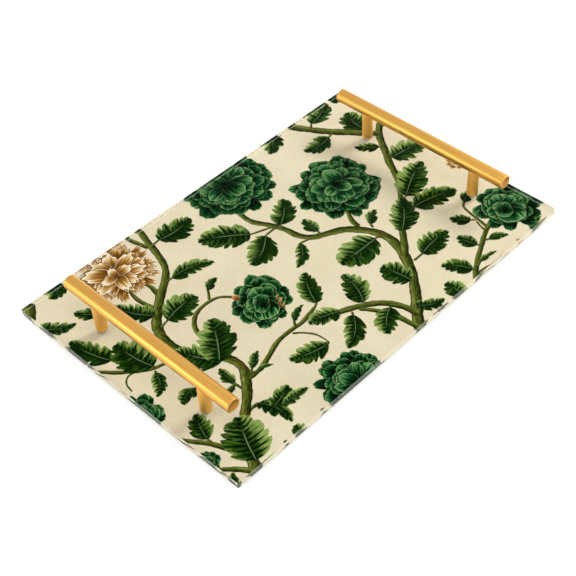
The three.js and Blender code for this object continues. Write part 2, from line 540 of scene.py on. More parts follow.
EDGE_EASE = 0.15 * MM
CORNER_RADIUS = 1 * MM
CORNER_STEPS = 6
HOLE_RADIUS = 2.3 * MM
HOLE_SEGMENTS = 32
# The ink lies on the acrylic with no air between them, so the clear sheet dips into the printed one
DIP = 0.1 * MM


def rounded_outline(inset):
    """The panel's outline, anticlockwise, made smaller all round by inset."""
    points = []
    for quarter, (sign_x, sign_y) in enumerate(((1, 1), (-1, 1), (-1, -1), (1, -1))):
        centre = Vector((
            sign_x * (PANEL_HIGH.x - CORNER_RADIUS), sign_y * (PANEL_HIGH.y - CORNER_RADIUS)))
        for step in range(CORNER_STEPS + 1):
            turn = (quarter + step / CORNER_STEPS) * math.pi / 2
            points.append(centre + (CORNER_RADIUS - inset) * Vector((math.cos(turn), math.sin(turn))))
    return points


def drill_holes(piece):
    """Cuts the four screw holes right through a sheet."""
    beyond = 2 * PANEL_TOP
    profile = [(0, 0), (HOLE_RADIUS, 0), (HOLE_RADIUS, beyond), (0, beyond)]
    bm = bmesh.new()
    for post in POSTS:
        lathe(bm, profile, HOLE_SEGMENTS, axis(f"panel_screw_{post}"))
    drills = to_object("drills", bm, [])
    cut = piece.modifiers.new("holes", "BOOLEAN")
    cut.operation = "DIFFERENCE"
    cut.solver = "EXACT"
    cut.object = drills
    depsgraph = bpy.context.evaluated_depsgraph_get()
    drilled = bpy.data.meshes.new_from_object(piece.evaluated_get(depsgraph))
    piece.modifiers.clear()
    piece.data = drilled
    bpy.data.objects.remove(drills)


def make_sheet(name, levels, materials, node):
    """A sheet through (inset, height) levels from the bottom up, drilled for the screws. Its faces
    take the first of the materials and its walls the last."""
    bm = bmesh.new()
    rings = [[bm.verts.new((x, y, z)) for x, y in rounded_outline(inset)] for inset, z in levels]
    for lower, upper in zip(rings, rings[1:]):
        for i in range(len(lower)):
            after = (i + 1) % len(lower)
            wall = bm.faces.new((lower[i], lower[after], upper[after], upper[i]))
            wall.material_index = len(materials) - 1
    bm.faces.new(reversed(rings[0]))
    bm.faces.new(rings[-1])
    sheet = to_object(name, bm, materials, smooth=False)
    drill_holes(sheet)
    stand_in_for(sheet, node)


def make_acrylic():
    """The clear sheet, its edges a little eased."""
    bottom = PRINT_HIGH.z - DIP
    levels = [
        (EDGE_EASE, bottom),
        (0, bottom + EDGE_EASE),
        (0, PANEL_TOP - EDGE_EASE),
        (EDGE_EASE, PANEL_TOP),
    ]
    materials = [clear_acrylic(), satin_edge()]
    make_sheet("acrylic_sheet", levels, materials, "acrylic_panel")


def make_print_ground():
    """The printed sheet, out to the edge of the acrylic that it is bonded to."""
    levels = [(EDGE_EASE, PRINT_LOW.z), (EDGE_EASE, PRINT_HIGH.z)]
    make_sheet("print_ground", levels, [cream_ground()], "print_layer")


# ---- Printed pattern: drawing tools ----

# Heights of the inks above the printed ground, and the step up from each patch to the next, in
# millimetres
TWIG_LEVEL = 0.02
BRANCH_LEVEL = 0.04
STALK_LEVEL = 0.06
LEAF_LEVEL = 0.10
FLOWER_LEVEL = 0.14
SLIP_LEVEL = 0.30
STEM_STEP = 0.001
LEAF_STEP = 0.0005
PETAL_STEP = 0.0015
# How far inside the panel's corners the inks are cut off
CORNER_CUT = 0.4 * MM


class Ink:
    """Gathers flat patches of ink and makes one piece of them. Places are in millimetres on the
    panel, and so is level, the height above the printed ground. While a patch is drawn, its places
    are complex numbers x + yi, which turn and stretch by multiplying."""

    def __init__(self):
        self.points = []
        self.faces = []
        self.strokes = []
        self.tones = []

    def patch(self, places, level, stroke, tone):
        """places is a grid; stroke is three grids or numbers, and tone three numbers."""
        rows, columns = places.shape
        first = len(self.points)
        height = PRINT_HIGH.z + level * MM
        self.points += [(place.real * MM, place.imag * MM, height) for place in places.flat]
        grids = [np.broadcast_to(part, places.shape).flat for part in stroke]
        self.strokes += list(zip(*grids))
        self.tones += [tone] * (rows * columns)
        for row in range(rows - 1):
            for column in range(columns - 1):
                corner = first + row * columns + column
                self.faces.append((corner, corner + 1, corner + columns + 1, corner + columns))

    def lengthen(self, centre, ratio):
        """Draws everything out along the diagonal that runs to the rear right."""
        drawn_out = []
        for x, y, height in self.points:
            shift = (x - centre[0] * MM + y - centre[1] * MM) / 2 * (ratio - 1)
            drawn_out.append((x + shift, y + shift, height))
        self.points = drawn_out

    def piece(self, name, material):
        """One mesh of all the patches, with what the ink's material reads, cut to the panel."""
        mesh = bpy.data.meshes.new(name)
        mesh.from_pydata(self.points, [], self.faces)
        for label, values in (("stroke", self.strokes), ("tone", self.tones)):
            attribute = mesh.attributes.new(label, "FLOAT_VECTOR", "POINT")
            attribute.data.foreach_set("vector", np.array(values, np.float32).ravel())
        bm = bmesh.new()
        bm.from_mesh(mesh)
        bpy.data.meshes.remove(mesh)
        trim_to_print(bm)
        face_up(bm)
        drawn = to_object(name, bm, [material])
        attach(drawn, ROOT)


def trim_to_print(bm):
    """Cuts ink off at the printed sheet's edges and just inside its corners."""
    across, away = PANEL_HIGH.x - EDGE_EASE, PANEL_HIGH.y - EDGE_EASE
    sides = [(Vector((across, 0, 0)), Vector((1, 0, 0))), (Vector((0, away, 0)), Vector((0, 1, 0)))]
    for sign in (1, -1):
        corner = Vector((across - CORNER_CUT, sign * (away - CORNER_CUT), 0))
        sides.append((corner, Vector((1, sign, 0))))
    for place, normal in sides:
        for sign in (1, -1):
            bmesh.ops.bisect_plane(
                bm, geom=[*bm.verts, *bm.edges, *bm.faces], plane_co=place * sign,
                plane_no=normal * sign, clear_outer=True)


def face_up(bm):
    """Turns over the patches that were drawn face down."""
    bm.normal_update()
    flipped = [face for face in bm.faces if face.normal.z < 0]
    bmesh.ops.reverse_faces(bm, faces=flipped)


def smooth_route(points, spacing):
    """A Catmull-Rom curve through rows of numbers, whose first two are x and y."""
    knots = np.array(points, float)
    knots = np.vstack([2 * knots[0] - knots[1], knots, 2 * knots[-1] - knots[-2]])
    route = []
    for before, start, end, after in zip(knots, knots[1:], knots[2:], knots[3:]):
        steps = max(2, int(np.hypot(*(end - start)[:2]) / spacing))
        for share in np.arange(steps) / steps:
            route.append(0.5 * (
                2 * start + (end - before) * share
                + (2 * before - 5 * start + 4 * end - after) * share ** 2
                + (3 * start - before - 3 * end + after) * share ** 3))
    route.append(knots[-2])
    return np.array(route)


STEM_SPACING = 0.8
STEM_COLUMNS = 5
THINNEST_STEM = 0.3


def draw_stem(ink, points, level, dice):
    """A branch through (x, y, width) points, with a slightly knotty outline and round ends."""
    route = smooth_route(points, STEM_SPACING)
    spine = route[:, 0] + 1j * route[:, 1]
    widths = np.maximum(route[:, 2], THINNEST_STEM)
    ahead = np.gradient(spine)
    ahead /= abs(ahead)
    along = np.concatenate([[0], np.cumsum(abs(np.diff(spine)))])
    phase = dice.uniform(0, 9)
    knots = 1 + 0.06 * np.sin(along * 0.33 + phase) + 0.04 * np.sin(along * 0.9 + 2 * phase)
    from_end = np.minimum(along, along[-1] - along) / (widths / 2)
    round_end = np.sqrt(np.clip(1 - (1 - np.minimum(from_end, 1)) ** 2, 0.02, 1))
    left_edge = 1j * ahead * widths * knots * round_end / 2
    across = np.linspace(-1, 1, STEM_COLUMNS)[None, :]
    places = spine[:, None] + left_edge[:, None] * across
    side = 1 if ahead.real.mean() > 0 else -1
    stroke = (across * side, along[:, None], widths[:, None])
    ink.patch(places, level, stroke, (0, dice.uniform(0, 50), 0))


ROWS_PER_LOBE = 16
LEAF_COLUMNS = (-1, -0.55, 0, 0.55, 1)
# Where along a lobe it reaches out furthest, and how deep the cuts between lobes are
LOBE_PEAK = 0.74
LOBE_CUTS = (0.20, 0.58)
DEEP_CUT_WIDTH = 24
TEETH_PER_LOBE = 3
TOOTH_DEPTH = 0.08


def lobe_count(length):
    """The side veins, and so the lobes, on each half of a leaf of this length."""
    if length < 22:
        return 3
    return 4 if length < 36 else 5


def lobed_edge(vein, start, width, lobes, dice):
    """How far out one half of a leaf reaches as its side veins go by: toothed lobes, parted by cuts
    of their own depths. Leaves wider than DEEP_CUT_WIDTH have shallower cuts."""
    stretched = vein + start + 0.25 * np.sin(vein * 2.3 + dice.uniform(0, 9)) + 0.25
    phase = stretched % 1
    rising = np.sin(math.pi / 2 * np.minimum(phase / LOBE_PEAK, 1)) ** 0.85
    falling = np.cos(math.pi / 2 * np.maximum(phase - LOBE_PEAK, 0) / (1 - LOBE_PEAK)) ** 0.7
    depths = np.array([dice.uniform(*LOBE_CUTS) for _ in range(lobes + 3)])
    cut = min(1, DEEP_CUT_WIDTH / width) * depths[np.floor(stretched).astype(int)]
    teeth = TOOTH_DEPTH * (1 - (stretched * TEETH_PER_LOBE + 0.3) % 1)
    return 1.18 - cut * (1 - rising * falling) - teeth


def draw_leaf(ink, base, tip, width, bend, light, level, dice):
    """A ragged leaf from base to tip. Side veins slant forward from a midrib that bends sideways by
    the share bend of its length, and each ends in a toothed lobe of its own size."""
    base, tip = complex(*base), complex(*tip)
    length = abs(tip - base)
    forward = (tip - base) / length
    left = 1j * forward
    lobes = lobe_count(length)
    rows = lobes * ROWS_PER_LOBE + 1
    along = np.linspace(0, 1, rows)[:, None]
    across = np.array(LEAF_COLUMNS)[None, :]
    vein = along * lobes

    body = np.sin(math.pi * along ** 0.72) ** 0.55 * (1 - 0.45 * along ** 2)
    outline = np.zeros((rows, len(LEAF_COLUMNS)))
    starts = (0.5, dice.uniform(0.3, 0.7))
    for half, start in zip((slice(0, 3), slice(2, 5)), starts):
        outline[:, half] = body * lobed_edge(vein, start, width, lobes, dice)
    sweep = 0.12 + 0.75 * along
    reach = np.abs(across) ** 1.2 * outline * width / 2
    sideways = across * outline * width / 2 + bend * length * 4 * along * (1 - along)
    onward = along * length * 0.94 + reach * sweep
    lit = 1 if left.imag + 0.5 * left.real > 0 else -1
    seed = dice.uniform(0, 50)
    places = base + forward * onward + left * sideways
    ink.patch(places, level, (vein, across, along), (light, seed, lit))


PETAL_ROWS = 9
PETAL_COLUMNS = 15
# A petal's shadow is a darkest patch this far under it
SHADOW_DROP = 0.0007
DARKEST = -1


def draw_petal(ink, centre, turn, inner, outer, width, hidden, light, rim, frill, level, dice, shadow):
    """One petal, pointing away from centre at the angle turn, between two distances from it. The
    share hidden of its length lies under the petals that come after it, and frill is the depth of
    the waves round its end as a share of its length. shadow is the size of the dark shape under
    it, next to its own size, or 0 for none."""
    along = np.linspace(0, 1, PETAL_ROWS)[:, None]
    across = np.linspace(-1, 1, PETAL_COLUMNS)[None, :]
    edge = np.abs(across)
    length = outer - inner
    rounded = 1 - dice.uniform(0.34, 0.48) * edge ** dice.uniform(2.4, 3.4)
    waves = np.cos(dice.uniform(2.2, 3.4) * math.pi * across + dice.uniform(-1, 1))
    onward = inner + length * along * (rounded + frill * waves)
    spread = 0.42 + 0.58 * np.sin(math.pi / 2 * np.minimum(along / 0.85, 1))
    lean = dice.uniform(-0.10, 0.10) * length * along ** 2
    sideways = across * width / 2 * spread + lean
    places = centre + np.exp(1j * turn) * (onward + 1j * sideways)
    shown = (along - hidden) / (1 - hidden)
    seed = dice.uniform(0, 50)
    ink.patch(places, level, (across, shown, along), (light, seed, rim))
    if shadow:
        wider = places.mean() + (places - places.mean()) * shadow
        ink.patch(wider, level - SHADOW_DROP, (0, 0, 0), (DARKEST, seed, 0))


def draw_flower(ink, centre, radius, seed, heart_at, rings, heart):
    """A full double flower: rings of petals laid like tiles from the outside in, then the large
    petals round its heart, which lies off the middle by the shares heart_at of the radius."""
    dice = random.Random(seed)
    centre, to_heart = complex(*centre), complex(*heart_at) * radius
    level = FLOWER_LEVEL
    for count, inner, outer, width, hidden, light, rim, frill in rings:
        place = centre + to_heart * (1 - outer)
        start = dice.uniform(0, math.tau)
        for number in range(count):
            turn = start + math.tau * (number + dice.uniform(-0.32, 0.32)) / count
            upward = 0.06 * math.sin(turn)
            draw_petal(
                ink, place, turn, inner * radius, outer * radius * dice.uniform(0.86, 1.05),
                width * radius * dice.uniform(0.80, 1.25), hidden,
                light + upward + dice.uniform(-0.08, 0.08), rim * dice.uniform(0.0, 1.0), frill,
                level, dice, shadow=1.08 if outer < 0.95 else 0)
            level += PETAL_STEP
    heart_frill = rings[-1][-1]
    for degrees, inner, outer, width, light, rim in heart:
        draw_petal(
            ink, centre + to_heart, math.radians(degrees), inner * radius, outer * radius,
            width * radius, 0.10, light, rim * dice.uniform(0.4, 1.0), heart_frill, level, dice,
            shadow=1.10)
        level += PETAL_STEP


# ---- Printed pattern: the design, in millimetres from the middle of the panel ----

# Branches: points of (x, y, width)
MAIN_BRANCHES = [
    # left vine, from the rear edge to the front edge
    [(-63, 130, 6), (-68, 112, 6), (-72, 96, 6.5), (-78, 79, 6), (-88, 67, 7), (-102, 57, 8),
     (-115, 46, 9), (-127, 34, 9), (-133, 20, 8.5), (-134, 6, 8), (-128, -14, 8), (-117, -28, 8),
     (-112, -40, 7.5), (-113, -52, 8), (-120, -62, 9), (-130, -73, 8), (-142, -83, 8),
     (-154, -94, 8), (-163, -108, 9), (-171, -122, 10), (-176, -134, 11)],
    # middle vine, from under the rear flower to the front edge
    [(14, 88, 4.5), (10, 76, 5), (10, 62, 5.5), (17, 48, 6), (22, 34, 6), (24, 20, 6.5),
     (31, 9, 6.5), (44, 2, 7), (56, -5, 8), (65, -16, 8), (71, -28, 8.5), (73, -42, 9),
     (69, -56, 9), (62, -70, 9.5), (52, -84, 9), (42, -95, 9), (30, -107, 10), (18, -118, 10),
     (6, -132, 10)],
    # right vine, from the middle vine up to the right edge
    [(64, -66, 6), (75, -56, 7), (86, -45, 6), (96, -33, 5.5), (110, -22, 5), (122, -12, 5),
     (132, -2, 5.5), (141, 10, 6.5), (149, 24, 7), (158, 36, 7), (167, 49, 7), (174, 58, 7),
     (184, 66, 7), (198, 72, 7)],
    # rear right vine
    [(124, 134, 9), (133, 118, 8.5), (141, 104, 8.5), (150, 91, 9), (160, 78, 9), (169, 66, 8),
     (176, 58, 7)],
    # front right vine
    [(74, -134, 5), (88, -122, 5), (102, -113, 4.5), (116, -106, 4.5), (130, -99, 4.5),
     (146, -93, 4), (160, -90, 3)],
    # front middle pair
    [(-26, -64, 5), (-12, -70, 6), (2, -78, 6), (13, -88, 6.5), (20, -102, 6.5), (22, -116, 7)],
    [(-6, -76, 4), (2, -88, 4.5), (8, -102, 5), (10, -118, 5.5), (12, -130, 6)],
    # front left vine
    [(-196, -58, 3.5), (-189, -70, 4), (-181, -82, 4.5), (-175, -94, 5), (-170, -106, 5.5)],
    [(-197, -100, 4), (-188, -109, 4), (-180, -118, 5), (-174, -128, 6)],
    # rear left corner
    [(-178, 136, 9), (-187, 123, 9), (-198, 108, 9)],
    # left edge vine
    [(-198, 39, 3), (-190, 30, 3.5), (-181, 19, 4), (-171, 10, 4), (-161, 2, 3.5), (-150, -2, 3),
     (-138, -10, 3)],
    # branch from the left vine to the front middle
    [(-116, -62, 4), (-103, -61, 4.5), (-90, -57, 4.5), (-76, -52, 4.5), (-62, -51, 4),
     (-48, -52, 4), (-36, -50, 4), (-28, -48, 3)],
]
TWIGS = [
    # the tawny flower's two stalks
    [(-117, 80, 3), (-119, 66, 4), (-117, 50, 5)],
    [(-105, 82, 3), (-102, 70, 4), (-104, 58, 5)],
    [(-78, 132, 4), (-75, 118, 4.5), (-72, 106, 5)],
    # the small flower's arching stalk
    [(-113, -14, 4), (-111, 2, 4), (-106, 12, 4.5), (-97, 19, 4), (-85, 21, 3.5), (-74, 19, 3),
     (-67, 13, 2.8), (-63, 6, 2.6)],
    [(-80, 22, 2.6), (-75, 28, 2.2), (-72, 33, 1.8)],
    # the round flower's stalk
    [(78, 14, 4), (72, 4, 4.5), (68, -4, 5), (67, -12, 5)],
    # tendrils
    [(-170, 9, 2), (-178, 10, 1.8), (-184, 5, 1.6), (-186, -4, 1.4)],
    [(-127, -74, 3), (-127, -64, 2.6), (-129, -54, 2), (-133, -48, 1.6)],
    [(-61, -54, 2.4), (-54, -61, 2), (-49, -70, 1.8), (-48, -80, 1.4)],
    [(138, -98, 3), (141, -86, 3), (143, -74, 2.6), (146, -64, 2.4), (152, -60, 2)],
    [(134, -99, 2), (136, -90, 2), (139, -83, 1.8)],
    [(80, -126, 2.4), (92, -123, 2.2), (104, -125, 2), (114, -131, 2)],
    [(-148, -88, 3), (-138, -84, 3), (-130, -85, 2.8), (-124, -92, 2.4)],
    # stalks that pass under the left bar
    [(-145, 76, 2), (-141, 66, 2.4), (-132, 54, 2.8), (-122, 42, 3)],
    [(-145, -36, 2), (-146, -24, 2.2), (-144, -10, 2.6)],
]

# Leaves: (where the stalk leaves its branch), (base), (tip), width, sideways bend, lightness
LEAVES = [
    ((-148, 134), (-150, 132), (-168, 121), 16, 0.1, -0.1),
    ((-200, 108), (-196, 105), (-168, 83), 15, -0.1, 0.1),
    ((-144, 76), (-146, 78), (-165, 96), 14, 0.1, 0),
    ((-170, 12), (-176, 32), (-186, 75), 22, 0.06, -0.1),
    ((-160, 1), (-158, 3), (-163, 45), 31, 0.05, 0.1),
    ((-118, 42), (-121, 43), (-138, 78), 20, 0.08, -0.1),
    ((-127, 29), (-118, 31), (-82, 34), 27, 0.06, 0.1),
    ((-74, 30), (-73, 31), (-57, 36), 9, 0.12, -0.2),
    ((-90, 64), (-83, 64), (-44, 50), 17, 0.1, 0.1),
    ((-69, 106), (-60, 107), (-21, 108), 27, -0.08, -0.2),
    ((18, 44), (-2, 52), (-40, 82), 29, -0.03, 0.1),
    ((20, 42), (5, 41), (-30, 23), 26, 0.08, -0.1),
    ((34, 8), (18, 12), (-7, -7), 12, 0.12, 0),
    ((-114, -33), (-117, -33), (-137, 4), 27, 0.05, 0.1),
    ((-114, -32), (-120, -32), (-92, 8), 31, -0.03, 0.1),
    ((-160, -1), (-161, -3), (-178, -23), 12, 0.12, 0.2),
    ((-144, -36), (-150, -38), (-169, -44), 13, -0.18, 0),
    ((-128, -58), (-127, -56), (-125, -36), 10, 0.04, 0.1),
    ((-126, -60), (-129, -58), (-139, -58), 6, 0.1, 0.1),
    ((-113, -60), (-108, -56), (-91, -46), 8, 0.05, 0.2),
    ((-113, -58), (-107, -61), (-93, -66), 5, 0.1, 0.1),
    ((-54, -51), (-50, -46), (-31, -39), 7, 0.1, 0),
    ((-30, -49), (-24, -46), (-4, -13), 19, 0.04, 0),
    ((-48, -80), (-50, -83), (-84, -71), 20, 0.05, 0.1),
    ((-20, -67), (-18, -67), (-46, -56), 18, -0.05, 0.2),
    ((-12, -74), (-14, -77), (-45, -99), 18, 0.1, 0),
    ((2, -78), (2, -74), (15, -38), 22, -0.08, 0.1),
    ((14, -94), (12, -94), (-12, -113), 20, -0.08, 0.1),
    ((-178, -86), (-178, -80), (-167, -55), 18, 0.04, 0.1),
    ((-168, -120), (-167, -120), (-147, -80), 35, 0.03, 0.3),
    ((-134, -83), (-129, -84), (-124, -117), 15, 0.12, -0.1),
    ((-126, -88), (-124, -95), (-100, -88), 16, -0.04, -0.1),
    ((-124, -92), (-118, -100), (-91, -102), 10, 0.06, 0.2),
    ((-128, -136), (-127, -135), (-125, -118), 14, 0, 0.2),
    ((-104, -146), (-104, -142), (-100, -122), 12, 0, 0.2),
    ((-146, -146), (-146, -140), (-140, -122), 11, 0, 0.1),
    ((-206, -134), (-204, -132), (-185, -114), 12, 0, 0.1),
    ((21, 36), (23, 41), (50, 65), 22, -0.08, 0),
    ((38, 6), (39, 11), (42, 32), 13, 0.04, 0.2),
    ((112, 140), (110, 138), (84, 114), 20, 0.08, 0),
    ((148, 93), (140, 91), (108, 95), 20, 0.12, 0),
    ((138, 112), (144, 117), (178, 128), 20, -0.05, 0.1),
    ((168, 68), (172, 72), (180, 104), 26, 0.12, 0),
    ((162, 42), (160, 46), (144, 64), 13, 0.05, -0.1),
    ((150, 26), (156, 27), (192, 18), 27, 0.04, 0.3),
    ((118, -16), (124, -17), (172, 5), 28, 0.03, 0.2),
    ((84, -46), (87, -43), (121, -13), 25, -0.06, 0),
    ((100, -30), (118, -31), (162, -46), 25, 0.05, -0.1),
    ((74, -22), (76, -17), (94, -8), 11, 0.1, 0.1),
    ((72, -34), (65, -32), (20, -30), 32, 0.02, 0.1),
    ((50, -88), (47, -87), (42, -57), 24, -0.03, 0.1),
    ((66, -74), (77, -74), (115, -72), 23, 0.04, 0),
    ((140, -82), (137, -79), (126, -63), 13, 0.05, -0.1),
    ((118, -106), (116, -102), (113, -82), 14, 0.04, 0),
    ((92, -120), (91, -117), (75, -94), 17, -0.08, 0),
    ((124, -103), (128, -105), (144, -115), 9, 0.1, 0.1),
    ((96, -118), (102, -116), (122, -119), 6, 0.06, 0.1),
    ((148, -62), (151, -60), (168, -57), 11, 0.1, -0.2),
    ((26, -110), (28, -108), (50, -121), 13, -0.12, -0.1),
    ((64, -136), (64, -134), (64, -109), 19, 0.04, 0.1),
    ((158, -128), (160, -126), (182, -121), 8, 0.1, 0.3),
    ((186, 134), (182, 130), (200, 114), 14, 0, -0.2),
]

# Rings of a flower, from the outside in: (petals, inner end, outer end, width, share hidden,
# lightness, rim strength, frill); lengths are shares of the flower's radius
FULL_RINGS = [
    (16, 0.5, 1, 0.38, 0.4, -0.06, 0.2, 0.03),
    (13, 0.4, 0.86, 0.4, 0.4, -0.04, 0.3, 0.03),
    (10, 0.28, 0.72, 0.42, 0.38, 0, 0.6, 0.03),
    (8, 0.14, 0.58, 0.4, 0.34, 0.04, 0.8, 0.03),
]
SMALL_RINGS = [
    (12, 0.44, 1, 0.46, 0.36, -0.04, 0.2, 0.03),
    (9, 0.3, 0.8, 0.5, 0.36, 0, 0.6, 0.03),
    (6, 0.14, 0.62, 0.5, 0.3, 0.02, 0.8, 0.03),
]
RAGGED_RINGS = [
    (22, 0.4, 1.02, 0.22, 0.3, -0.22, 0.2, 0.1),
    (16, 0.34, 0.9, 0.28, 0.3, -0.14, 0.5, 0.1),
    (11, 0.2, 0.76, 0.36, 0.3, -0.08, 0.9, 0.08),
]
BUD_RINGS = [
    (10, 0.3, 1, 0.44, 0.3, -0.04, 0.5, 0.1),
    (7, 0.1, 0.7, 0.44, 0.25, 0, 0.9, 0.1),
]

# Petals round a flower's heart, from the back to the front: (direction in degrees, inner end,
# outer end, width, lightness, rim strength); lengths are shares of the flower's radius
ROUND_HEART = [
    (150, 0.1, 0.6, 0.36, 0.02, 0.6),
    (30, 0.1, 0.56, 0.34, 0.02, 0.7),
    (355, 0.1, 0.58, 0.3, 0.04, 0.8),
    (118, 0.05, 0.48, 0.28, 0.14, 0.9),
    (78, -0.02, 0.56, 0.42, 0.16, 0.5),
    (222, 0.05, 0.56, 0.4, 0.04, 1),
    (262, 0.05, 0.48, 0.34, 0.02, 0.5),
    (318, 0, 0.5, 0.36, 0.04, 0.7),
    (190, -0.06, 0.4, 0.3, 0.14, 1),
    (290, -0.14, 0.28, 0.32, 0.08, 1),
]
REAR_HEART = [
    (150, 0.05, 0.56, 0.34, 0.06, 0.7),
    (20, 0.05, 0.62, 0.38, 0.04, 0.6),
    (62, 0.05, 0.6, 0.32, 0.1, 0.8),
    (104, 0, 0.5, 0.34, 0.12, 0.9),
    (190, 0, 0.52, 0.36, 0.06, 0.6),
    (235, 0, 0.5, 0.32, 0, 0.5),
    (335, 0, 0.54, 0.38, 0.06, 0.8),
    (285, -0.08, 0.42, 0.42, 0.08, 0.9),
]
CUPPED_HEART = [
    (75, 0, 0.6, 0.7, 0.06, 1),
    (20, 0, 0.56, 0.4, 0.02, 0.8),
    (160, 0, 0.58, 0.62, 0.04, 1),
    (315, 0, 0.56, 0.4, 0.02, 0.8),
    (245, 0, 0.62, 0.84, 0.06, 1),
    (110, -0.1, 0.36, 0.5, 0.1, 1),
    (215, -0.1, 0.4, 0.5, 0.1, 1),
    (40, -0.2, 0.24, 0.3, 0.02, 0.9),
]
TAWNY_HEART = [
    (60, 0.05, 0.76, 0.4, 0.02, 1),
    (105, 0.05, 0.7, 0.44, 0, 0.9),
    (20, 0.05, 0.8, 0.36, 0.04, 1),
    (335, 0.05, 0.76, 0.38, 0.04, 1),
    (205, 0.05, 0.72, 0.4, 0.02, 1),
    (145, 0, 0.78, 0.5, 0.04, 1),
    (300, 0.05, 0.6, 0.4, 0.06, 1),
    (262, 0, 0.62, 0.34, 0.1, 1),
    (0, 0, 0.46, 0.3, 0.1, 1),
    (180, -0.04, 0.44, 0.3, 0.12, 1),
    (75, -0.1, 0.26, 0.24, 0.14, 1),
]
BUD_HEART = [
    (60, -0.1, 0.4, 0.4, 0.06, 1),
    (200, -0.1, 0.36, 0.36, 0.1, 1),
]

# Flowers: name, centre, radius, how much longer along the diagonal, heart off the middle, rings,
# petals round the heart, ink
FLOWERS = [
    ("rear_flower", (30, 113), 45, 1, (-0.04, 0), FULL_RINGS, REAR_HEART, "emerald"),
    ("round_flower", (94, 38), 43, 1, (0.04, 0), FULL_RINGS, ROUND_HEART, "emerald"),
    ("small_flower", (-51, -10), 26, 1.22, (0, -0.1), SMALL_RINGS, CUPPED_HEART, "emerald"),
    ("corner_flower", (172, -92), 31, 1, (-0.1, 0), SMALL_RINGS, CUPPED_HEART, "emerald"),
    ("front_flower", (-63, -128), 35, 1, (0, 0), FULL_RINGS, REAR_HEART, "emerald"),
    ("tawny_flower", (-110, 104), 34, 1, (-0.08, -0.04), RAGGED_RINGS, TAWNY_HEART, "tawny"),
    ("left_flower", (-200, -26), 23, 1, (0, 0), SMALL_RINGS, CUPPED_HEART, "emerald"),
    ("left_bud", (-193, -95), 11, 1, (0, 0), SMALL_RINGS, CUPPED_HEART, "emerald"),
    ("right_bud", (192, -22), 13, 1, (0, 0), BUD_RINGS, BUD_HEART, "tawny"),
    ("front_bud_left", (122, -131), 10, 1, (0, 0), BUD_RINGS, BUD_HEART, "tawny"),
    ("front_bud_right", (144, -131), 9, 1, (0, 0), BUD_RINGS, BUD_HEART, "tawny"),
]

# Amber slips that show from under the small flower: (x, y), direction in degrees, length, width
AMBER_SLIPS = [
    ((-64, 4), 80, 7, 6),
    ((-46, -25), 30, 9, 2.4),
    ((-43, -20), 40, 6, 1.8),
    ((-47, -28), 15, 6, 2.2),
]


BRANCH_SEED = 11
LEAF_SEED = 5
SLIP_SEED = 2
FIRST_FLOWER_SEED = 3


def print_branches():
    dice = random.Random(BRANCH_SEED)
    ink = Ink()
    for number, points in enumerate(TWIGS):
        draw_stem(ink, points, TWIG_LEVEL + STEM_STEP * number, dice)
    for number, points in enumerate(MAIN_BRANCHES):
        draw_stem(ink, points, BRANCH_LEVEL + STEM_STEP * number, dice)
    ink.piece("print_branches", stem_ink())


STALK_WIDTHS = (2.6, 2.0, 0.8)
STALK_ENTRY = 0.12
LEAF_PIECES = 4


def print_leaves():
    """The leaves, and the stalk of each, which ends a little way into its leaf."""
    dice = random.Random(LEAF_SEED)
    material = leaf_ink()
    stalk_material = stem_ink()
    stalks = Ink()
    groups = [Ink() for _ in range(LEAF_PIECES)]
    for number, (root, base, tip, width, bend, light) in enumerate(LEAVES):
        entry = np.array(base) + (np.array(tip) - np.array(base)) * STALK_ENTRY
        route = [(*place, wide) for place, wide in zip((root, base, entry), STALK_WIDTHS)]
        rise = LEAF_STEP * number
        draw_stem(stalks, route, STALK_LEVEL + rise, dice)
        group = groups[number % LEAF_PIECES]
        draw_leaf(group, base, tip, width, bend, light, LEAF_LEVEL + rise, dice)
    stalks.piece("print_leaf_stalks", stalk_material)
    for number, group in enumerate(groups, start=1):
        group.piece(f"print_leaves_{number}", material)


def print_flowers():
    inks = {"emerald": emerald_ink(), "tawny": tawny_ink()}
    for seed, flower in enumerate(FLOWERS, start=FIRST_FLOWER_SEED):
        name, centre, radius, ratio, heart_at, rings, heart, colour = flower
        ink = Ink()
        draw_flower(ink, centre, radius, seed, heart_at, rings, heart)
        ink.lengthen(centre, ratio)
        ink.piece(f"print_{name}", inks[colour])


def print_amber_slips():
    dice = random.Random(SLIP_SEED)
    ink = Ink()
    for number, (place, degrees, length, width) in enumerate(AMBER_SLIPS):
        draw_petal(
            ink, complex(*place), math.radians(degrees), inner=0, outer=length, width=width, hidden=0,
            light=0, rim=1, frill=0.05, level=SLIP_LEVEL + STEM_STEP * number, dice=dice, shadow=0)
    ink.piece("print_amber_slips", amber_ink())


# ---- Handles ----

BAR_EASE = 0.8 * MM
BAR_LIP = 1.3 * MM
BAR_DISH = 0.5 * MM
BAR_SEGMENTS = 96
POST_EASE = 0.35 * MM
POST_BITE = 0.05 * MM
POST_SEGMENTS = 64


def make_bar(side, satin, faced):
    """A round bar with a rounded lip round each dished end. It is turned on Z and laid along Y."""
    node = f"handle_bar_{side}"
    radius, half = size(node).x / 2, size(node).y / 2
    end = [(0, half - BAR_DISH), (radius - BAR_LIP - BAR_DISH, half - BAR_DISH), (radius - BAR_LIP, half)]
    end += rounded_edge((radius - BAR_EASE, half), (radius, half - BAR_EASE), steps=6)
    profile = [(r, -h) for r, h in end] + [(r, h) for r, h in reversed(end)]
    face_rows = (0, 1, len(profile) - 3, len(profile) - 2)
    bm = bmesh.new()
    lathe(bm, profile, BAR_SEGMENTS, Vector(), lambda row: 1 if row in face_rows else 0)
    bmesh.ops.recalc_face_normals(bm, faces=bm.faces)
    laid = Matrix.Translation(middle(node)) @ Matrix.Rotation(math.pi / 2, 4, "X")
    bmesh.ops.transform(bm, matrix=laid, verts=bm.verts)
    stand_in_for(to_object(f"bar_{side}", bm, [satin, faced]), node)


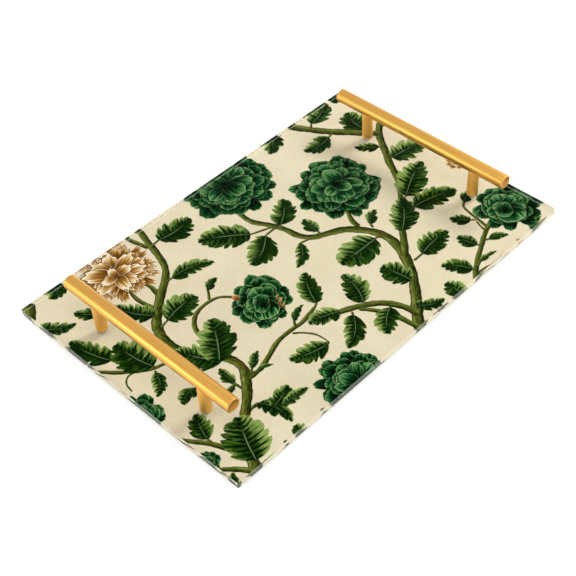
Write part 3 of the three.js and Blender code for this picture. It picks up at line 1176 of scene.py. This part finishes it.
def make_post(post, satin):
    """A round post, a little eased at its foot. Its top is hollowed to the bar's curve, and bites
    into the bar so that no gap shows."""
    node = f"handle_post_{post}"
    bar_node = f"handle_bar_{post.split('_')[0]}"
    bar, bar_radius = middle(bar_node), size(bar_node).x / 2
    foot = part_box(node)[0].z
    radius = size(node).x / 2
    profile = [(0, foot)]
    profile += rounded_edge((radius - POST_EASE, foot), (radius, foot + POST_EASE), steps=2)
    profile += [(radius, bar.z - bar_radius), (radius, bar.z)]
    bm = bmesh.new()
    lathe(bm, profile, POST_SEGMENTS, axis(node))
    top_ring = list(bm.verts)[-POST_SEGMENTS:]
    for vert in top_ring:
        sideways = vert.co.x - bar.x
        vert.co.z = bar.z - math.sqrt(bar_radius ** 2 - sideways ** 2) + POST_BITE
    bm.faces.new(top_ring)
    bmesh.ops.recalc_face_normals(bm, faces=bm.faces)
    stand_in_for(to_object(f"post_{post}", bm, [satin]), node)


def make_handles():
    bar_gold = satin_gold("satin_gold_bar", srgb(232, 174, 82), srgb(241, 185, 94), 0.30, 0.42)
    # The posts' gold is a lighter copy of the bars' gold: painted light, brightening posts that the lamps
    # leave darker.
    post_gold_painted_lighter = satin_gold("satin_gold_post_painted_lighter", srgb(250, 196, 104), srgb(254, 206, 116), 0.56, 0.70)
    faced = turned_gold()
    for side in SIDES:
        make_bar(side, bar_gold, faced)
    for post in POSTS:
        make_post(post, post_gold_painted_lighter)


# ---- Screws, washers and feet ----

SHANK_RADIUS = 2.0 * MM
THREAD_PITCH = 0.7 * MM
THREAD_DEPTH = 0.4 * MM
SOCKET_APOTHEM = 1.25 * MM
SOCKET_DEPTH = 1.4 * MM
HEAD_FLAT = 0.62
HEAD_DOME = 1.0 * MM
SCREW_SEGMENTS = 48
WASHER_BORE = 2.2 * MM
WASHER_EASE = 0.15 * MM
FOOT_PAD_RADIUS = 4.5 * MM
FOOT_SHOULDER = 0.85
HARDWARE_SEGMENTS = 64
SHARP_EDGE = math.radians(35)
WELD = 0.001 * MM


def turn_hardware(name, profile, segments, node, material):
    """Turns a profile on its CAD node's axis, and rounds its shading but for the sharp edges."""
    bm = bmesh.new()
    lathe(bm, profile, segments, axis(node))
    bmesh.ops.remove_doubles(bm, verts=bm.verts, dist=WELD)
    bmesh.ops.recalc_face_normals(bm, faces=bm.faces)
    for edge in bm.edges:
        edge.smooth = len(edge.link_faces) < 2 or edge.calc_face_angle(0) < SHARP_EDGE
    stand_in_for(to_object(name, bm, [material]), node)


def hexagon_socket(turn):
    """The reach of a regular hexagon's outline at a turn, taken from one of its corners."""
    return SOCKET_APOTHEM / math.cos(turn % (math.pi / 3) - math.pi / 6)


def make_screw(post, zinc):
    """A pan head with a hexagon socket under the panel, and a threaded shank up into the post."""
    node = f"panel_screw_{post}"
    low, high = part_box(node)
    head = size(node).x / 2
    head_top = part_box(f"screw_washer_{post}")[0].z
    floor = low.z + SOCKET_DEPTH
    core = SHANK_RADIUS - THREAD_DEPTH
    profile = [(0, floor), (hexagon_socket, floor), (hexagon_socket, low.z)]
    profile += rounded_edge((head * HEAD_FLAT, low.z), (head, low.z + HEAD_DOME), steps=6)
    profile += [(head, head_top), (SHANK_RADIUS, head_top)]
    for number in range(int((high.z - head_top) / THREAD_PITCH) - 1):
        crest = head_top + THREAD_PITCH * (number + 0.5)
        profile += [(SHANK_RADIUS, crest), (core, crest + THREAD_PITCH / 2)]
    profile += [(SHANK_RADIUS, high.z - THREAD_DEPTH), (core, high.z), (0, high.z)]
    turn_hardware(f"screw_{post}", profile, SCREW_SEGMENTS, node, zinc)


def make_washer(post, zinc):
    """A flat washer with tumbled edges."""
    node = f"screw_washer_{post}"
    low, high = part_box(node)
    outer = size(node).x / 2
    profile = [
        (WASHER_BORE, low.z),
        (outer - WASHER_EASE, low.z),
        (outer, low.z + WASHER_EASE),
        (outer, high.z - WASHER_EASE),
        (outer - WASHER_EASE, high.z),
        (WASHER_BORE, high.z),
        (WASHER_BORE, low.z),
    ]
    turn_hardware(f"washer_{post}", profile, HARDWARE_SEGMENTS, node, zinc)


def make_foot(post, rubber):
    """A stick-on bumper of clear rubber, its flat pad on the table."""
    node = f"foot_{post}"
    low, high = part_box(node)
    outer = size(node).x / 2
    shoulder = low.z + FOOT_SHOULDER * size(node).z
    profile = [(0, low.z)]
    profile += rounded_edge((FOOT_PAD_RADIUS, low.z), (outer, shoulder), steps=9)
    profile += [(outer, high.z), (0, high.z)]
    turn_hardware(f"bumper_{post}", profile, HARDWARE_SEGMENTS, node, rubber)


def make_hardware():
    zinc, rubber = zinc_steel(), clear_rubber()
    for post in POSTS:
        make_screw(post, zinc)
        make_washer(post, zinc)
        make_foot(post, rubber)
        wear(f"bar_stud_{post}", zinc)


# ---- Stage ----

WORLD_LIGHT = 0.75
FLOOR_HALF = 6
# Name, place, width in metres, power in watts; each shines on the middle of the table
LIGHTS = [
    ("key_light", (1.5, -0.2, 1.4), 0.8, 13),
    ("overhead_light", (-0.5, -0.3, 2.0), 1.2, 4),
    ("side_light", (-1.55, 0.87, 0.38), 0.9, 5),
    ("rim_light", (1.0, -1.4, 0.9), 0.5, 2.5),
]


def add_light(name, place, width, power):
    data = bpy.data.lights.new(name, "AREA")
    data.shape = "DISK"
    data.size = width
    data.energy = power
    light = add_object(name, data)
    light.location = place
    light.rotation_euler = (-Vector(place)).to_track_quat("-Z", "Y").to_euler()


def add_stage():
    bm = bmesh.new()
    bmesh.ops.create_grid(bm, x_segments=8, y_segments=8, size=FLOOR_HALF)
    floor = to_object("studio_floor", bm, [studio_floor()])
    world = bpy.data.worlds.new("studio")
    world.use_nodes = True
    background = world.node_tree.nodes["Background"]
    background.inputs["Color"].default_value = WHITE
    background.inputs["Strength"].default_value = WORLD_LIGHT
    bpy.context.scene.world = world
    for light in LIGHTS:
        add_light(*light)
    bpy.context.scene.view_settings.view_transform = "Standard"


# ---- Build ----

add_camera()
add_stage()
wear("backing_film", backing_white())
make_acrylic()
make_print_ground()
print_branches()
print_leaves()
print_flowers()
print_amber_slips()
make_handles()
make_hardware()
